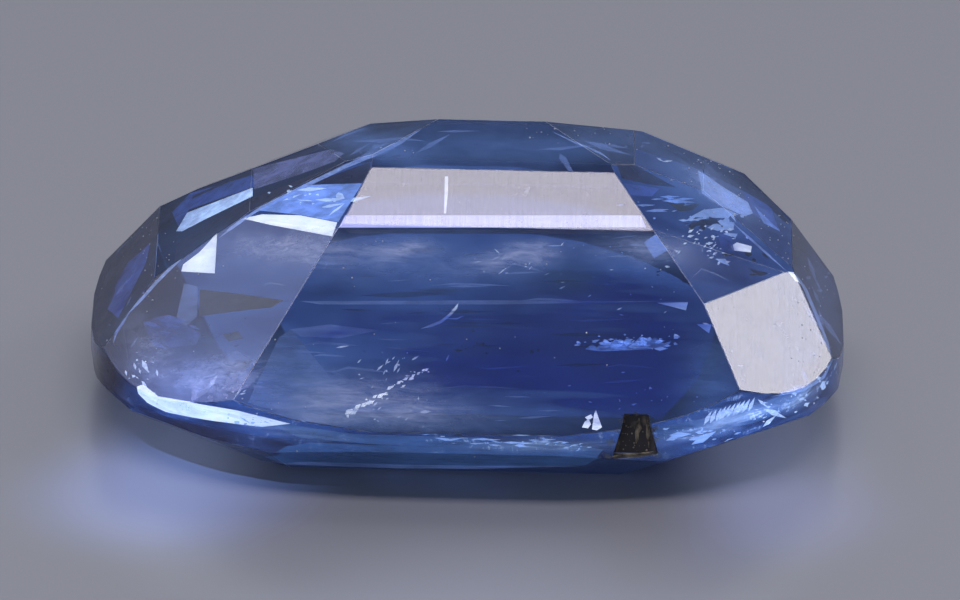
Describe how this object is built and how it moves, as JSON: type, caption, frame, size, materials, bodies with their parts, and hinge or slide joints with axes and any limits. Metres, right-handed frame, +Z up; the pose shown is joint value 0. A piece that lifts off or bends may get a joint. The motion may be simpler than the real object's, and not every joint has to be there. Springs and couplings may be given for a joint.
{
  "type": "sapphire gemstone",
  "caption": "Cut blue sapphire, an elongated cushion with a stepped pavilion, a low crown and a broken stained pocket in its girdle, lying on its table.",
  "frame": {"origin": "on the table facet, which is the lowest face, under the middle of the stone's outline", "axes": "+X along the stone, +Z up from the table to the pavilion's keel, and the side with the stained pocket faces -Y"},
  "size_m": [0.0086, 0.0064, 0.0032],
  "materials": {
    "blue_crystal": "polished facets with a matt, rubbed girdle"
  },
  "bodies": {
    "root": {"sapphire": "blue_crystal"}
  },
  "joints": []
}
